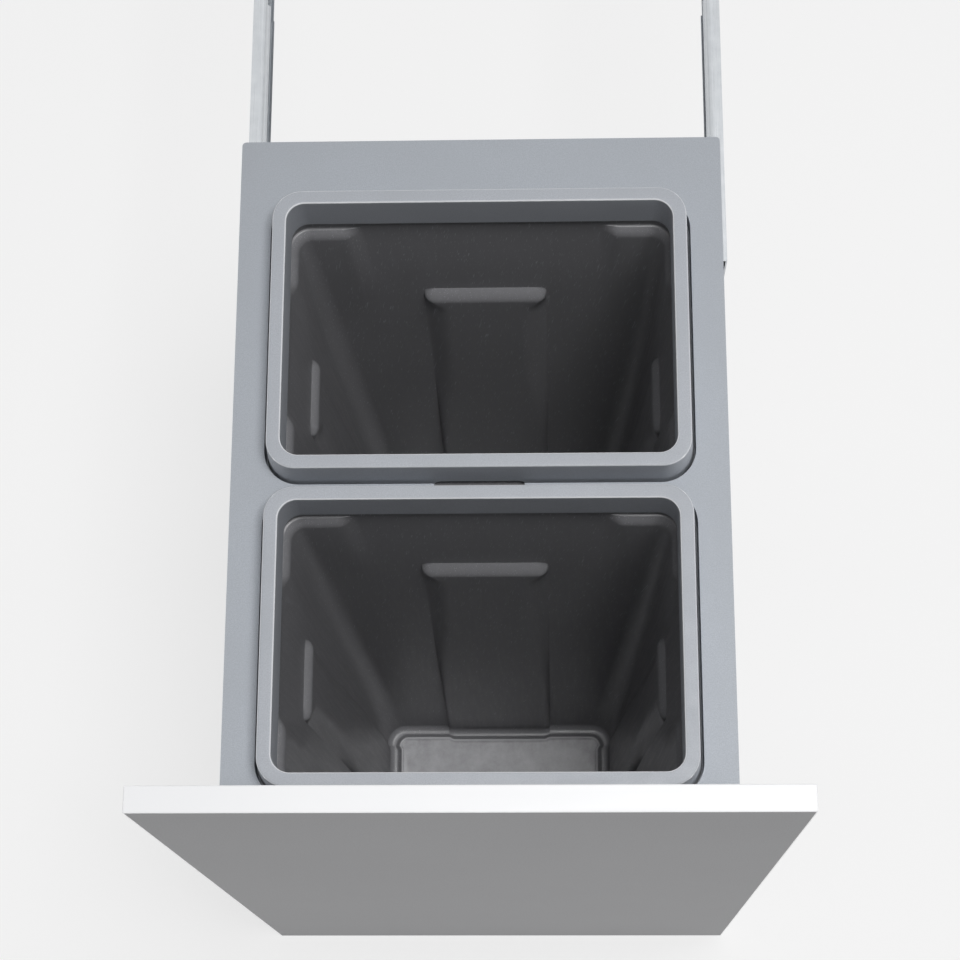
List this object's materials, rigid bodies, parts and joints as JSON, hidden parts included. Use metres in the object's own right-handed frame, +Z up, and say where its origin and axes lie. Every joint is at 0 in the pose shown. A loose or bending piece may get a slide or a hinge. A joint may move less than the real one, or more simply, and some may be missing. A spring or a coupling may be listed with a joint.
{
  "type": "pull-out bin frame",
  "caption": "Steel pull-out frame on ball-bearing runners that hangs lift-out waste bins with loose bag rings behind a tall cabinet front.",
  "frame": {"origin": "middle of the cabinet's clear width, in the plane of the cabinet front, at the height of the front panel's lower edge", "axes": "+X across the cabinet to the right as seen from the front, +Y into the cabinet, +Z up"},
  "size_m": [0.397, 0.904, 0.776],
  "materials": {
    "rail_steel": "zinc plated, satin",
    "cage_steel": "bare strip",
    "ball_steel": "polished",
    "dark_rubber": "matt",
    "lever_plastic": "matt",
    "fastener_steel": "zinc plated",
    "coated_steel": "silver-grey coat with a fine flake, satin",
    "faced_board": "plain grey facing, matt",
    "edge_plastic": "satin",
    "clear_rubber": "soft, clear",
    "bin_plastic": "fine grain, slightly shiny",
    "ring_plastic": "satin"
  },
  "bodies": {
    "cabinet_rails": {"left_cabinet_rail": "rail_steel", "right_cabinet_rail": "rail_steel", "left_rail_stop": "dark_rubber", "right_rail_stop": "dark_rubber"},
    "carriage": {"left_drawer_rail": "rail_steel", "right_drawer_rail": "rail_steel", "rail_screws": "fastener_steel", "rail_nuts": "fastener_steel", "carrier_plate": "coated_steel", "left_side_plate": "coated_steel", "right_side_plate": "coated_steel", "plate_nuts": "fastener_steel", "rear_cross_bar": "coated_steel", "front_cross_bar": "coated_steel", "left_front_bracket": "coated_steel", "right_front_bracket": "coated_steel", "frame_bolts": "fastener_steel", "frame_nuts": "fastener_steel", "front_panel": "faced_board", "edge_band": "edge_plastic", "front_screws": "fastener_steel", "front_buffers": "clear_rubber"},
    "rear_bin_body": {"rear_bin": "bin_plastic"},
    "front_bin_body": {"front_bin": "bin_plastic"},
    "rear_ring_body": {"rear_ring": "ring_plastic"},
    "front_ring_body": {"front_ring": "ring_plastic"},
    "left_middle": {"left_middle_rail": "rail_steel"},
    "left_outer_race": {"left_outer_cage": "cage_steel", "left_outer_balls": "ball_steel"},
    "left_inner_race": {"left_inner_cage": "cage_steel", "left_inner_balls": "ball_steel"},
    "left_lever": {"left_release_lever": "lever_plastic"},
    "right_middle": {"right_middle_rail": "rail_steel"},
    "right_outer_race": {"right_outer_cage": "cage_steel", "right_outer_balls": "ball_steel"},
    "right_inner_race": {"right_inner_cage": "cage_steel", "right_inner_balls": "ball_steel"},
    "right_lever": {"right_release_lever": "lever_plastic"}
  },
  "joints": [
    {"name": "push_in", "type": "slide", "parent": "cabinet_rails", "child": "carriage", "axis": [0, 1, 0], "range_m": [0, 0.434]},
    {"name": "left_middle_slide", "type": "slide", "parent": "cabinet_rails", "child": "left_middle", "axis": [0, 1, 0], "range_m": [0, 0.217]},
    {"name": "left_outer_cage_roll", "type": "slide", "parent": "cabinet_rails", "child": "left_outer_race", "axis": [0, 1, 0], "range_m": [0, 0.1085]},
    {"name": "left_inner_cage_roll", "type": "slide", "parent": "left_middle", "child": "left_inner_race", "axis": [0, 1, 0], "range_m": [0, 0.1085]},
    {"name": "left_release", "type": "hinge", "parent": "carriage", "child": "left_lever", "pos_m": [-0.172, -0.225, 0.464], "axis": [1, 0, 0], "range_deg": [-6, 0]},
    {"name": "right_middle_slide", "type": "slide", "parent": "cabinet_rails", "child": "right_middle", "axis": [0, 1, 0], "range_m": [0, 0.217]},
    {"name": "right_outer_cage_roll", "type": "slide", "parent": "cabinet_rails", "child": "right_outer_race", "axis": [0, 1, 0], "range_m": [0, 0.1085]},
    {"name": "right_inner_cage_roll", "type": "slide", "parent": "right_middle", "child": "right_inner_race", "axis": [0, 1, 0], "range_m": [0, 0.1085]},
    {"name": "right_release", "type": "hinge", "parent": "carriage", "child": "right_lever", "pos_m": [0.172, -0.225, 0.464], "axis": [1, 0, 0], "range_deg": [-6, 0]},
    {"name": "rear_bin_lift", "type": "slide", "parent": "carriage", "child": "rear_bin_body", "axis": [0, 0, 1], "range_m": [0, 0.6]},
    {"name": "rear_ring_lift", "type": "slide", "parent": "rear_bin_body", "child": "rear_ring_body", "axis": [0, 0, 1], "range_m": [0, 0.08]},
    {"name": "front_bin_lift", "type": "slide", "parent": "carriage", "child": "front_bin_body", "axis": [0, 0, 1], "range_m": [0, 0.6]},
    {"name": "front_ring_lift", "type": "slide", "parent": "front_bin_body", "child": "front_ring_body", "axis": [0, 0, 1], "range_m": [0, 0.08]}
  ],
  "couplings": [
    {"joint": "left_middle_slide", "follows": "push_in", "ratio": 0.5},
    {"joint": "left_outer_cage_roll", "follows": "push_in", "ratio": 0.25},
    {"joint": "left_inner_cage_roll", "follows": "push_in", "ratio": 0.25},
    {"joint": "right_middle_slide", "follows": "push_in", "ratio": 0.5},
    {"joint": "right_outer_cage_roll", "follows": "push_in", "ratio": 0.25},
    {"joint": "right_inner_cage_roll", "follows": "push_in", "ratio": 0.25}
  ]
}
